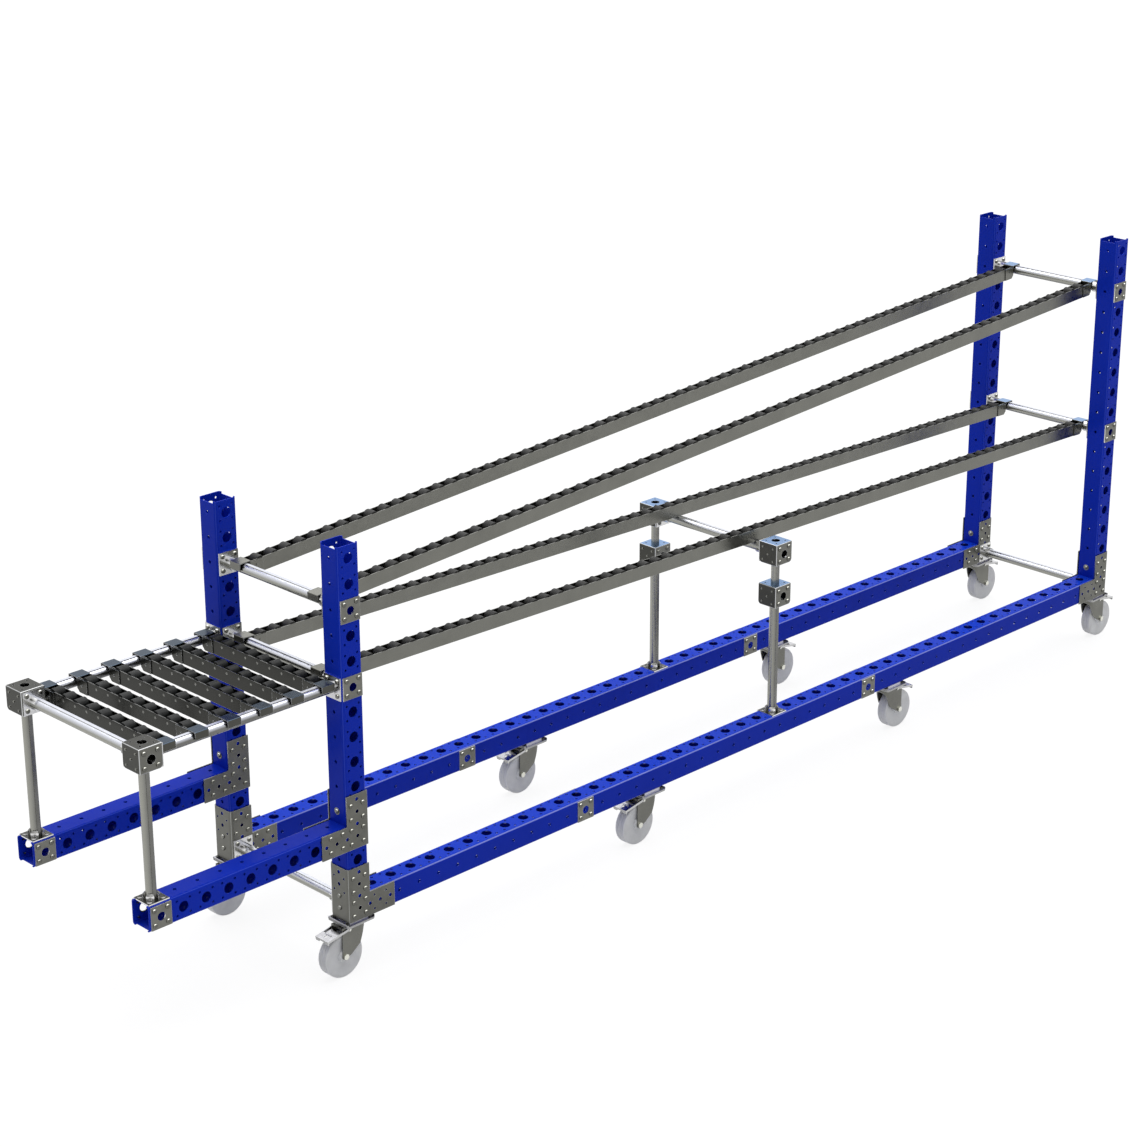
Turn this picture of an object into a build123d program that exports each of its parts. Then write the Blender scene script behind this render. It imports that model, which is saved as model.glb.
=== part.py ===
from build123d import *
from collections import namedtuple
from functools import cache
import math
import os

# Roller track rack: a castered frame of perforated square tube that carries sloping roller tracks.
# Millimetres. While the rack is built, X runs from the low unloading end to the high feeding end,
# Y runs across it and Z runs up, from the crossing of the front posts and the base beams.
# At the end everything moves so that the origin is under the middle of the rack, on the floor.

# Square tube and its holes
tube_side = 70.0
tube_wall = 3.0
tube_corner_radius = 7.5
hole_pitch = 70.0
big_hole_radius = 14.75
bolt_hole_offset = 20.0
bolt_hole_radius = 3.5
side_hole_radius = 5.25
end_notch_width = 52.0
end_notch_depth = 6.0

# Layout, in hole pitches from the foot of the front posts
frame_width = 496.4
rear_post_station = 48
front_post_top_station = 14
rear_post_top_station = 17
shelf_beam_station = 3
shelf_end_station = -9
upper_front_station = 12
lower_front_station = 9
upper_rear_station = 15
lower_rear_station = 8
middle_station = 24
middle_cube_station = 6
caster_stations = [0, 16, 32, 48]
clamp_plate_stations = [12, 30]
front_cross_bolt_station = 4
rear_cross_bolt_station = 1

# Plates, brackets and bolts
plate_thickness = 3.0
plate_side = 63.0
plate_reach = 120.0
plate_window_radius = 12.0
plate_small_hole_radius = 5.5
bolt_radius = 3.0
bolt_head_radius = 6.5
bolt_head_height = 4.0
bolt_head_round = 3.5
bolt_tail = 4.0
washer_radius = 10.0
washer_thickness = 1.5

# Round tubes with a flat rib along one side
round_tube_radius = 14.0
stub_tube_radius = 12.0
round_tube_wall = 2.0
rib_width = 10.0
rib_height = 1.5

# Sockets and foot clamps that hold the round tubes
socket_depth = 28.0
socket_wall = 4.0
socket_slot = 12.0
short_socket_depth = 6.0
foot_clamp_depth = 16.0
foot_clamp_wall = 7.0
foot_clamp_chamfer = 5.0
socket_clearance = 0.3

# Joint cubes
cube_drop = 32.0
cube_wall = 3.0
cube_bend_radius = 3.0
cube_wide_bend_radius = 11.0
cube_window_radius = 13.0
pin_radius = 2.75
pin_height = 1.5

# Roller tracks
lane_offset = 160.0
channel_width = 36.0
channel_height = 39.5
channel_wall = 2.0
lane_channel_drop = 25.0
shelf_channel_drop = 20.7
axle_height = 27.5
roller_radius = 16.5
roller_length = 30.0
roller_pitch = 50.0
roller_axle_radius = 3.0
running_clearance = 0.05
first_roller_place = 53.5
shelf_track_pitch = 100.0
first_shelf_track_place = 65.0
shelf_track_count = 6

# Hook brackets that hang the tracks on the round tubes
hook_plate = 2.5
hook_web_place = 17.0
hook_reach = 60.0
hook_lip_place = 16.5
hook_lip_drop = 2.0
hook_chamfer = 10.0
hook_bend_radius = 2.0
hook_seat_clearance = 0.5
hook_dimple_radius = 3.0
hook_dimple_height = 1.2

# Caster carrier: spacer, tray with turned-up ends, the caster's top plate and its bolts and nuts
spacer_thickness = 5.0
tray_thickness = 3.5
tray_length = 96.0
tray_width = 87.0
tray_rim_height = 4.0
tray_bend_radius = 3.0
tray_edge_radius = 1.7
tray_corner_radius = 8.0
top_plate_thickness = 3.0
top_plate_inset = 1.0
top_plate_bolt_x = 38.0
top_plate_bolt_y = 30.0
access_hole_radius = 7.5
caster_bolt_radius = 3.0
caster_nut_radius = 6.0
caster_nut_height = 4.5
caster_head_height = 3.0
race_radius = 20.0
race_height = 3.5
plug_height = 10.0
plug_clearance = 0.2

# Caster fork
king_pin_radius = 6.0
swivel_gap = 0.5
crown_thickness = 4.0
fork_half_width = 23.0
fork_plate = 3.0
fork_front_centre = 13.0
fork_back = 51.0
fork_foot_radius = 10.0
fork_chest_front = 24.0
fork_chest_drop = 37.0
fork_knee_front = 9.0
fork_knee_drop = 77.0
fork_toe_back = 19.0
fork_toe_rise = 2.0
caster_trail = 42.0

# Caster wheel and its axle bolt
wheel_radius = 62.5
wheel_width = 35.0
wheel_edge_radius = 4.0
wheel_groove_place = 6.0
wheel_groove_width = 1.5
wheel_groove_depth = 1.0
wheel_dish_depth = 4.0
wheel_rim = 10.0
hub_radius = 18.0
hub_side_gap = 0.3
wheel_axle_radius = 6.0
axle_head_radius = 9.0
axle_head_height = 4.5
axle_drop = 100.0

# Brake pedal
pedal_pin_radius = 3.0
pedal_pin_back = 27.0
pedal_pin_drop = 25.0
pedal_ear_radius = 5.0
pedal_ear_thickness = 2.5
pedal_pin_end = 1.0
pedal_length = 77.0
pedal_plate = 2.5
pedal_floor_place = 26.5
pedal_rim_height = 4.0
pedal_lip_drop = 6.0
pedal_lip_notch_radius = 14.0
pedal_tread_length = 26.0
pedal_hole_radius = 4.0
pedal_grip_radius = 2.0
pedal_grip_reach = 12.0
pedal_side_gap = 0.5
pedal_slope_degrees = 10.4
pedal_hole_share = 0.8

# Overrun of every cutting tool past the face that it cuts
overrun = 1.0

# Places worked out from the sizes above
half_width = frame_width / 2
tube_half = tube_side / 2
rear_x = rear_post_station * hole_pitch
middle_x = middle_station * hole_pitch
shelf_end_x = shelf_end_station * hole_pitch
shelf_beam_z = shelf_beam_station * hole_pitch
upper_front_z = upper_front_station * hole_pitch
lower_front_z = lower_front_station * hole_pitch
upper_rear_z = upper_rear_station * hole_pitch
lower_rear_z = lower_rear_station * hole_pitch
middle_cube_z = middle_cube_station * hole_pitch
inner_face = half_width - tube_half
lower_slope = math.atan2(lower_rear_z - lower_front_z, rear_x)
rib_top = round_tube_radius + rib_height
middle_tube_drop = lane_channel_drop / math.cos(lower_slope) + rib_top
middle_tube_drop += (rib_width / 2) * abs(math.tan(lower_slope)) + running_clearance
middle_tube_z = (lower_front_z + lower_rear_z) / 2 - middle_tube_drop
hook_seat = rib_top + hook_seat_clearance
channel_end = hook_web_place + hook_plate
tray_top = -tube_half - spacer_thickness
tray_bottom = tray_top - tray_thickness
top_plate_bottom = tray_bottom - top_plate_thickness
crown_top = top_plate_bottom - race_height - swivel_gap
crown_bottom = crown_top - crown_thickness
fork_inner = fork_half_width - fork_plate
wheel_z = -tube_half - axle_drop
pedal_pin_z = -tube_half - pedal_pin_drop
pedal_arm_inner = fork_half_width + pedal_side_gap
pedal_half_width = pedal_arm_inner + pedal_ear_thickness

Bolt = namedtuple("Bolt", "seat direction grip")
up = (0, 0, 1)
down = (0, 0, -1)


def block(x_span, y_span, z_span):
    """Box between two places along each axis."""
    spans = [x_span, y_span, z_span]
    centre = [(low + high) / 2 for low, high in spans]
    size = [high - low for low, high in spans]
    return Pos(*centre) * Box(*size)


def rod(radius, start, direction, length):
    """Round bar from a start point along a direction."""
    return extrude(Plane(origin=start, z_dir=direction) * Circle(radius), length)


def bolt_square(centre, direction, grip):
    """Four bolts round a station, going in along the direction."""
    plane = Plane(origin=centre, z_dir=direction)
    spread = 2 * bolt_hole_offset
    spots = GridLocations(spread, spread, 2, 2)
    return [Bolt((plane.location * spot).position, Vector(*direction), grip) for spot in spots]


@cache
def bolt_shape(grip):
    """Round-headed bolt: the head's underside is at zero and the shank goes up."""
    head = Pos(0, 0, -bolt_head_height / 2) * Cylinder(bolt_head_radius, bolt_head_height)
    head = fillet(head.edges().sort_by(Axis.Z)[0], bolt_head_round)
    shank_length = grip + bolt_tail
    return (head + Pos(0, 0, shank_length / 2) * Cylinder(bolt_radius, shank_length)).solid()


def bolt_solid(bolt):
    """Bolt in its place."""
    return Plane(origin=bolt.seat, z_dir=bolt.direction).location * bolt_shape(bolt.grip)


def bolt_cutter(bolt):
    """Bar that opens the clearance hole for a bolt."""
    start = bolt.seat - bolt.direction * overrun
    return rod(bolt_hole_radius, start, bolt.direction, bolt.grip + bolt_tail + overrun)


# Frame: perforated square tubes


def square_profile():
    """Section of the square tube."""
    bore = tube_side - 2 * tube_wall
    outer = RectangleRounded(tube_side, tube_side, tube_corner_radius)
    return outer - RectangleRounded(bore, bore, tube_corner_radius - tube_wall)


def perforated_tube(length, first_station, count):
    """Square tube up from zero: round holes and bolt holes along Y, small side holes along X."""
    across = tube_side + 2 * overrun
    start = -tube_half - overrun
    tools = []
    for index in range(count):
        z = first_station + index * hole_pitch
        tools.append(rod(big_hole_radius, (0, start, z), (0, 1, 0), across))
        tools.append(rod(side_hole_radius, (start, 0, z), (1, 0, 0), across))
        for x in (-bolt_hole_offset, bolt_hole_offset):
            for rise in (-bolt_hole_offset, bolt_hole_offset):
                tools.append(rod(bolt_hole_radius, (x, start, z + rise), (0, 1, 0), across))
    return extrude(square_profile(), length).cut(*tools)


def end_notch(length):
    """Bar that cuts back the end of the two walls with the small side holes."""
    across = (-tube_half - overrun, tube_half + overrun)
    width = (-end_notch_width / 2, end_notch_width / 2)
    return block(across, width, (length - end_notch_depth, length + overrun))


def post(x, y, top_station, bolts):
    """Upright tube from the base to half a pitch above its top station."""
    length = top_station * hole_pitch + tube_side
    tube = perforated_tube(length, tube_half, top_station + 1) - end_notch(length)
    return (Pos(x, y, -tube_half) * tube).cut(*[bolt_cutter(bolt) for bolt in bolts])


def base_beam(y, bolts):
    """Long tube between the posts, with its round holes on top and below."""
    count = rear_post_station - 1
    tube = perforated_tube(rear_x - tube_side, hole_pitch - tube_half, count)
    place = Plane(origin=(tube_half, y, 0), x_dir=(0, 1, 0), z_dir=(1, 0, 0))
    return (place.location * tube).cut(*[bolt_cutter(bolt) for bolt in bolts])


def shelf_beam(y, bolts):
    """Short tube that sticks out from a front post."""
    length = -shelf_end_x
    tube = perforated_tube(length, hole_pitch - tube_half, -shelf_end_station)
    tube -= end_notch(length)
    place = Plane(origin=(-tube_half, y, shelf_beam_z), x_dir=(0, 0, 1), z_dir=(-1, 0, 0))
    return (place.location * tube).cut(*[bolt_cutter(bolt) for bolt in bolts])


# Frame: plates and brackets


def side_span(y, side, low, high):
    """Span along Y of something that lies from low to high out from a tube's centre."""
    return tuple(sorted((y + side * low, y + side * high)))


def elbow_legs(x, z, sign, y_span):
    """L-shaped plate whose legs go up and, to the given side, along X."""
    upright = block((x - tube_half, x + tube_half), y_span, (z - tube_half, z + plate_reach))
    ends = tuple(sorted((x + sign * tube_half, x + sign * plate_reach)))
    return upright + block(ends, y_span, (z - tube_half, z + tube_half))


def elbow_holes(x, y, z, sign):
    """Small holes along both legs, at whole and half pitches."""
    depth = tube_side + 2 * (plate_thickness + overrun)
    start = y - depth / 2
    half_pitch = hole_pitch / 2
    tools = []
    for index in range(4):
        reach = index * half_pitch
        if reach + plate_small_hole_radius < plate_reach:
            radius = plate_small_hole_radius
            tools.append(rod(radius, (x, start, z + reach), (0, 1, 0), depth))
            tools.append(rod(radius, (x + sign * reach, start, z), (0, 1, 0), depth))
    return tools


def elbow_bolts(x, y, z, sign, side, flange=0.0):
    """Bolts through an elbow plate on one side of the tubes, and a flange at its corner."""
    face = y + side * (tube_half + plate_thickness)
    grip = plate_thickness + tube_wall
    inward = (0, -side, 0)
    bolts = bolt_square((x, face + side * flange, z), inward, grip + flange)
    bolts += bolt_square((x, face, z + hole_pitch), inward, grip)
    return bolts + bolt_square((x + sign * hole_pitch, face, z), inward, grip)


def elbow_plate(x, y, z, sign, side):
    """Flat elbow plate on one side of the tubes."""
    y_span = side_span(y, side, tube_half, tube_half + plate_thickness)
    tools = elbow_holes(x, y, z, sign)
    tools += [bolt_cutter(bolt) for bolt in elbow_bolts(x, y, z, sign, side)]
    return elbow_legs(x, z, sign, y_span).cut(*tools)


def foot_holes(x, y, sign):
    """Bolt places on both sides of a foot bracket, deeper under the base cross tube's flange."""
    places = []
    for side in (-1, 1):
        flange = plate_thickness if side * y < 0 else 0.0
        places += elbow_bolts(x, y, 0, sign, side, flange)
    return places


def foot_bolts(x, y, sign):
    """Bolts in those places, apart from the bare holes of the leg along the beam's outer side."""
    bolts = []
    for bolt in foot_holes(x, y, sign):
        outer = y * (bolt.seat.Y - y) > 0
        along_beam = sign * (bolt.seat.X - x) > tube_half
        if not (outer and along_beam):
            bolts.append(bolt)
    return bolts


def foot_end_bolts(x, y, sign):
    """Single bolts through the bracket's end plate into the post."""
    face = x - sign * (tube_half + plate_thickness)
    grip = plate_thickness + tube_wall
    places = [(face, y, 0), (face, y, hole_pitch / 2)]
    return [Bolt(Vector(*place), Vector(sign, 0, 0), grip) for place in places]


def foot_bracket(x, y, sign):
    """Bent plate round the foot of a post, with legs along both sides of the base beam."""
    outer_half = tube_half + plate_thickness
    outer = Rectangle(tube_half + outer_half, 2 * outer_half)
    outer = fillet(outer.vertices().group_by(Axis.X)[0], tube_corner_radius + plate_thickness)
    inner = Rectangle(tube_side, tube_side)
    inner = fillet(inner.vertices().group_by(Axis.X)[0], tube_corner_radius)
    wrap = Pos(-plate_thickness / 2, 0) * outer - inner
    shell = extrude(wrap, tube_half + plate_reach)
    if sign < 0:
        shell = Rot(0, 0, 180) * shell
    shell = Pos(x, y, -tube_half) * shell
    for side in (-1, 1):
        y_span = side_span(y, side, tube_half, outer_half)
        ends = tuple(sorted((x + sign * tube_half, x + sign * plate_reach)))
        shell += block(ends, y_span, (-tube_half, tube_half))
    face = x - sign * outer_half
    bolts = foot_holes(x, y, sign) + foot_end_bolts(x, y, sign)
    bolts += bolt_square((face, y, hole_pitch), (sign, 0, 0), plate_thickness)
    tools = elbow_holes(x, y, 0, sign) + [bolt_cutter(bolt) for bolt in bolts]
    start = face - sign * overrun
    for z in (hole_pitch, hole_pitch * 3 / 2):
        depth = plate_thickness + 2 * overrun
        tools.append(rod(plate_small_hole_radius, (start, y, z), (sign, 0, 0), depth))
    return shell.cut(*tools)


@cache
def square_plate():
    """Square plate with a round window and four bolt holes, from zero upwards."""
    spread = 2 * bolt_hole_offset
    holes = GridLocations(spread, spread, 2, 2) * Circle(bolt_hole_radius)
    outline = Rectangle(plate_side, plate_side) - Circle(plate_window_radius) - holes
    return extrude(outline, plate_thickness).solid()


def placed(shape, origin, outward):
    """Shape with its up axis turned to point outward from the origin."""
    return Plane(origin=origin, z_dir=outward).location * shape


# Round tubes and what holds them


def ribbed_tube(start, direction, length, rib, radius):
    """Round tube with a flat rib, pointing to the rib side."""
    rise = radius + rib_height
    outline = Circle(radius) + Pos(0, rise / 2) * Rectangle(rib_width, rise)
    outline -= Circle(radius - round_tube_wall)
    axis = Vector(*direction)
    place = Plane(origin=start, x_dir=Vector(*rib).cross(axis), z_dir=axis)
    return place * extrude(outline, length)


@cache
def socket_shape(depth, wall, chamfer_size):
    """Square flange with a collar of four jaws, slotted where the tube's rib passes."""
    spread = 2 * bolt_hole_offset
    holes = GridLocations(spread, spread, 2, 2) * Circle(bolt_hole_radius)
    flange = extrude(Rectangle(plate_side, plate_side) - holes, plate_thickness)
    bore = round_tube_radius + socket_clearance
    outer = Pos(0, 0, depth / 2) * Cylinder(bore + wall, depth)
    if chamfer_size:
        outer = chamfer(outer.edges().sort_by(Axis.Z)[-1], chamfer_size)
    collar = outer - Pos(0, 0, depth / 2) * Cylinder(bore, depth)
    reach = tube_side
    slots = Box(reach, socket_slot, depth) + Box(socket_slot, reach, depth)
    collar -= Pos(0, 0, depth / 2) * slots
    return (flange + Pos(0, 0, plate_thickness) * collar).solid()


def socket(face, outward, depth=socket_depth):
    """Flanged socket on a face, its collar pointing outward."""
    return placed(socket_shape(depth, socket_wall, 0.0), face, outward)


def foot_clamp(face, outward):
    """Flanged clamp with thick jaws at the foot of a round upright."""
    shape = socket_shape(foot_clamp_depth, foot_clamp_wall, foot_clamp_chamfer)
    return placed(shape, face, outward)


def cube_face(x, y, z, outward):
    """Middle of a cube's face."""
    return Vector(x, y, z) + Vector(*outward) * tube_half


def folded_box(x_span, y_span, z_span, bend, wide_bend):
    """Solid box with small bends, and wide ones where its +X and +Y sides turn under."""
    shape = block(x_span, y_span, z_span)
    foot = shape.faces().sort_by(Axis.Z)[0].edges()
    wide = [foot.sort_by(Axis.X)[-1], foot.sort_by(Axis.Y)[-1]]
    shape = fillet(wide, wide_bend)
    if bend:
        faces = shape.faces()
        rims = [faces.sort_by(Axis.X)[0], faces.sort_by(Axis.Y)[0], faces.sort_by(Axis.Z)[-1]]
        shape = fillet([edge for face in rims for edge in face.edges()], bend)
    return shape


def cube_pins(x, y, z, flanged):
    """Places and directions of the pins in the bare end faces, and of the bare holes on top."""
    pins = []
    holes = []
    for outward in ((1, 0, 0), (-1, 0, 0), up):
        if outward not in flanged:
            centre = cube_face(x, y, z, outward)
            around = [(bolt.seat, outward) for bolt in bolt_square(centre, outward, cube_wall)]
            if outward == up:
                holes += around
            else:
                pins += [(centre, outward)] + around
    return pins, holes


def joint_cube(x, y, z, flanged):
    """Hollow cube of folded sheet, with windows in its broad sides and, if no tube is there, its top."""
    x_span = (x - tube_half, x + tube_half)
    y_span = (y - tube_half, y + tube_half)
    z_span = (z - cube_drop, z + tube_half)
    outer = folded_box(x_span, y_span, z_span, cube_bend_radius, cube_wide_bend_radius)
    spans = [(low + cube_wall, high - cube_wall) for low, high in (x_span, y_span, z_span)]
    inner = folded_box(*spans, 0.0, cube_wide_bend_radius - cube_wall)
    tools = [inner] + [bolt_cutter(bolt) for bolt in cube_bolts(x, y, z, flanged)]
    across = tube_side + 2 * overrun
    tools.append(rod(cube_window_radius, (x, y - across / 2, z), (0, 1, 0), across))
    if z != middle_cube_z:
        tools.append(rod(cube_window_radius, (x, y, z), up, across))
    pins, holes = cube_pins(x, y, z, flanged)
    for centre, outward in pins + holes:
        start = centre - Vector(*outward) * (cube_wall + overrun)
        depth = cube_wall + 2 * overrun
        tools.append(rod(pin_radius + running_clearance, start, outward, depth))
    return outer.cut(*tools)


def cube_bolts(x, y, z, flanged):
    """Bolts on the broad sides of a cube and on its flanged faces, longer under a flange."""
    broad = [(0, 1, 0), (0, -1, 0)]
    bolts = []
    for outward in flanged + [face for face in broad if face not in flanged]:
        stack = plate_thickness if outward in flanged else 0
        normal = Vector(*outward)
        centre = cube_face(x, y, z, outward) + normal * stack
        bolts += bolt_square(centre, tuple(-normal), cube_wall + stack)
    return bolts


# Roller tracks, built along X from the tube at their start


def lane_place(y, z_front, z_rear):
    """Place of a long lane: X along the slope from the front tube, Z square to it."""
    slope = math.atan2(z_rear - z_front, rear_x)
    along = (math.cos(slope), 0, math.sin(slope))
    return Plane(origin=(0, y, z_front), x_dir=along, z_dir=(-math.sin(slope), 0, math.cos(slope)))


def shelf_place(x):
    """Place of a shelf track: X across the rack from the near side tube."""
    return Plane(origin=(x, -half_width, lower_front_z), x_dir=(0, 1, 0), z_dir=(0, 0, 1))


def channel(length, drop):
    """U-shaped channel between the hook brackets of a track."""
    half = channel_width / 2
    ends = (channel_end, length - channel_end)
    outside = block(ends, (-half, half), (-drop, channel_height - drop))
    trough = half - channel_wall
    top = channel_height - drop + overrun
    return outside - block(ends, (-trough, trough), (channel_wall - drop, top))


def hook(drop):
    """Bracket that wraps a channel's end and hooks over the round tube at zero."""
    low = hook_seat
    high = hook_seat + hook_plate
    lip_outer = -hook_lip_place - hook_plate
    path = [
        (lip_outer, -hook_lip_drop),
        (lip_outer, high),
        (channel_end, high),
        (channel_end, hook_chamfer - drop),
        (hook_web_place, hook_chamfer - drop),
        (hook_web_place, low),
        (-hook_lip_place, low),
        (-hook_lip_place, -hook_lip_drop),
    ]
    outline = make_face(Plane.XZ * Polyline(*path, close=True))
    half = channel_width / 2 + hook_plate
    strap = extrude(outline, half, both=True)
    bends = strap.edges().filter_by(Axis.Y).group_by(Axis.Z)[-1]
    strap = fillet(bends, hook_bend_radius)
    cheek_path = [
        (hook_web_place + hook_chamfer, -drop),
        (hook_reach, -drop),
        (hook_reach, channel_height - drop - hook_plate / 2),
        (hook_web_place, channel_height - drop - hook_plate / 2),
        (hook_web_place, hook_chamfer - drop),
    ]
    cheek = make_face(Plane.XZ * Polyline(*cheek_path, close=True))
    bracket = strap
    middle = (hook_web_place + hook_reach) / 2
    for side in (-1, 1):
        start = side * channel_width / 2
        y_span = tuple(sorted((start, start + side * hook_plate)))
        plate = extrude(Pos(0, y_span[1], 0) * cheek, hook_plate)
        dimple = rod(
            hook_dimple_radius, (middle, start, 0), (0, side, 0), hook_plate + hook_dimple_height
        )
        bracket = bracket + plate + dimple
    return bracket.solid()


@cache
def roller_shape():
    """Plain roller with a bore, lying along Y."""
    ring = Cylinder(roller_radius, roller_length)
    ring -= Cylinder(roller_axle_radius + running_clearance, roller_length)
    return (Rot(90, 0, 0) * ring).solid()


@cache
def axle_shape(length):
    """Roller axle, lying along Y."""
    return (Rot(90, 0, 0) * Cylinder(roller_axle_radius, length)).solid()


def roller_places(length, first):
    """Places of the rollers along a track, evenly spaced from the first one."""
    last = length - channel_end - roller_radius
    count = int((last - first) / roller_pitch) + 1
    return [first + index * roller_pitch for index in range(count)]


# Casters, built with the swivel axis at the origin and the wheel trailing to -X


def tray(bolts):
    """Carrier tray with turned-up ends, holes for its bolts and a bore round the king pin."""
    half = tray_length / 2
    rim_top = tray_top + tray_rim_height
    path = [
        (-half, rim_top),
        (-half, tray_bottom),
        (half, tray_bottom),
        (half, rim_top),
        (half - tray_thickness, rim_top),
        (half - tray_thickness, tray_top),
        (tray_thickness - half, tray_top),
        (tray_thickness - half, rim_top),
    ]
    shell = extrude(make_face(Plane.XZ * Polyline(*path, close=True)), tray_width / 2, both=True)
    shell = fillet(shell.edges().filter_by(Axis.Y).group_by(Axis.Z)[0], tray_bend_radius)
    shell = fillet(shell.edges().filter_by(Axis.Y).group_by(Axis.Z)[-1], tray_edge_radius)
    plan = RectangleRounded(tray_length, tray_width, tray_corner_radius)
    shell = shell & Pos(0, 0, tray_bottom) * extrude(plan, tray_thickness + tray_rim_height)
    tools = [bolt_cutter(bolt) for bolt in bolts] + [king_pin_bore(), *caster_bolt_holes()]
    return shell.cut(*tools)


def king_pin_bore():
    """Bar that opens the king pin's bore through the tray and the top plate."""
    start = (0, 0, crown_top - overrun)
    return rod(king_pin_radius + running_clearance, start, up, tray_top - crown_top + 2 * overrun)


def caster_bolt_spots():
    """Places of the four bolts that join the top plate to the tray."""
    spots = GridLocations(2 * top_plate_bolt_x, 2 * top_plate_bolt_y, 2, 2)
    return [(spot.position.X, spot.position.Y) for spot in spots]


def caster_bolt_holes():
    """Bars that open the clearance holes for those bolts."""
    depth = tray_top - top_plate_bottom + 2 * overrun
    radius = caster_bolt_radius + running_clearance
    return [rod(radius, (x, y, top_plate_bottom - overrun), up, depth) for x, y in caster_bolt_spots()]


def top_plate():
    """Top plate of a caster with its race, and access holes round the heads of the tray's bolts."""
    length = tray_length - 2 * top_plate_inset
    width = tray_width - 2 * top_plate_inset
    plan = RectangleRounded(length, width, tray_corner_radius - top_plate_inset)
    plate = Pos(0, 0, top_plate_bottom) * extrude(plan, top_plate_thickness)
    plate += rod(race_radius, (0, 0, tray_bottom), down, top_plate_thickness + race_height)
    depth = top_plate_thickness + 2 * overrun
    tools = [king_pin_bore(), *caster_bolt_holes()]
    for x in (-bolt_hole_offset, bolt_hole_offset):
        for y in (-bolt_hole_offset, bolt_hole_offset):
            tools.append(rod(access_hole_radius, (x, y, tray_bottom + overrun), down, depth))
    return plate.cut(*tools)


def top_plate_bolts():
    """Bolts of the top plate, each with a hexagon head below and a nut on the tray."""
    solids = []
    head = RegularPolygon(caster_nut_radius, 6)
    low = top_plate_bottom - caster_head_height
    for x, y in caster_bolt_spots():
        bolt = Pos(x, y, low) * extrude(head, caster_head_height)
        bolt += rod(caster_bolt_radius, (x, y, low), up, tray_top + caster_nut_height - low)
        bore = Circle(caster_bolt_radius + running_clearance)
        nut = Pos(x, y, tray_top) * extrude(head - bore, caster_nut_height)
        solids += [bolt, nut]
    return solids


def fork_plan(half, back):
    """Outline of the fork seen from above: straight sides and a round front."""
    length = back + fork_front_centre
    sides = Pos((fork_front_centre - back) / 2, 0) * Rectangle(length, 2 * half)
    return sides + Pos(fork_front_centre, 0) * Circle(half)


def fork_side_view():
    """Solid as wide as the fork that keeps only its tapering side outline."""
    front = fork_front_centre + fork_half_width + overrun
    outline = [
        (front, crown_bottom),
        (front, crown_bottom - fork_plate),
        (fork_chest_front, -tube_half - fork_chest_drop),
        (fork_knee_front, -tube_half - fork_knee_drop),
        (-fork_toe_back, wheel_z + fork_toe_rise),
        (-caster_trail, wheel_z - fork_foot_radius),
        (-fork_back, wheel_z),
        (-fork_back, crown_bottom),
    ]
    half = fork_half_width + overrun
    view = extrude(make_face(Plane.XZ * Polyline(*outline, close=True)), half, both=True)
    foot = Plane.XZ * Pos(-caster_trail, wheel_z) * Circle(fork_foot_radius)
    return view + extrude(foot, half, both=True)


def fork():
    """Pressed fork: crown, king pin and two sides joined round the front, with holes for both axles."""
    back = caster_trail + fork_foot_radius
    section = fork_plan(fork_half_width, back) - fork_plan(fork_inner, back + overrun)
    height = crown_bottom - wheel_z + fork_foot_radius
    walls = Pos(0, 0, crown_bottom - height) * extrude(section, height)
    walls = walls & fork_side_view()
    crown = Pos(0, 0, crown_bottom) * extrude(fork_plan(fork_half_width, fork_back), crown_thickness)
    pin = rod(king_pin_radius, (0, 0, crown_top), (0, 0, 1), tray_top - swivel_gap - crown_top)
    span = 2 * (fork_half_width + overrun)
    start = (-caster_trail, -span / 2, wheel_z)
    axle_hole = rod(wheel_axle_radius + running_clearance, start, (0, 1, 0), span)
    start = (-pedal_pin_back, -span / 2, pedal_pin_z)
    pin_hole = rod(pedal_pin_radius + running_clearance, start, (0, 1, 0), span)
    return (walls + crown + pin) - axle_hole - pin_hole


def axle_bolt():
    """Axle bolt with a hexagon head and nut outside the fork."""
    start = (-caster_trail, -fork_half_width, wheel_z)
    shank = rod(wheel_axle_radius, start, (0, 1, 0), 2 * fork_half_width)
    ends = shank
    for side in (-1, 1):
        face = Plane(origin=(-caster_trail, side * fork_half_width, wheel_z), z_dir=(0, side, 0))
        ends += extrude(face * RegularPolygon(axle_head_radius, 6), axle_head_height)
    return ends


def wheel():
    """Wheel with a grooved tread, shallow dished sides and a long hub."""
    shape = Cylinder(wheel_radius, wheel_width)
    shape = fillet(shape.edges(), wheel_edge_radius)
    ring = Cylinder(wheel_radius + overrun, wheel_groove_width)
    ring -= Cylinder(wheel_radius - wheel_groove_depth, wheel_groove_width)
    for place in (-wheel_groove_place, wheel_groove_place):
        shape -= Pos(0, 0, place) * ring
    depth = wheel_dish_depth
    dish = Cone(hub_radius, wheel_radius - wheel_rim, depth) - Cylinder(hub_radius, depth)
    for turn in (0, 180):
        shape -= Rot(turn, 0, 0) * Pos(0, 0, (wheel_width - depth) / 2) * dish
    shape += Cylinder(hub_radius, 2 * (fork_inner - hub_side_gap))
    shape -= Cylinder(wheel_axle_radius + running_clearance, 2 * fork_half_width)
    return Pos(-caster_trail, 0, wheel_z) * Rot(90, 0, 0) * shape


def pedal_pin():
    """Pin through the fork that carries the brake pedal."""
    half = pedal_half_width + pedal_pin_end
    return rod(pedal_pin_radius, (-pedal_pin_back, -half, pedal_pin_z), (0, 1, 0), 2 * half)


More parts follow.
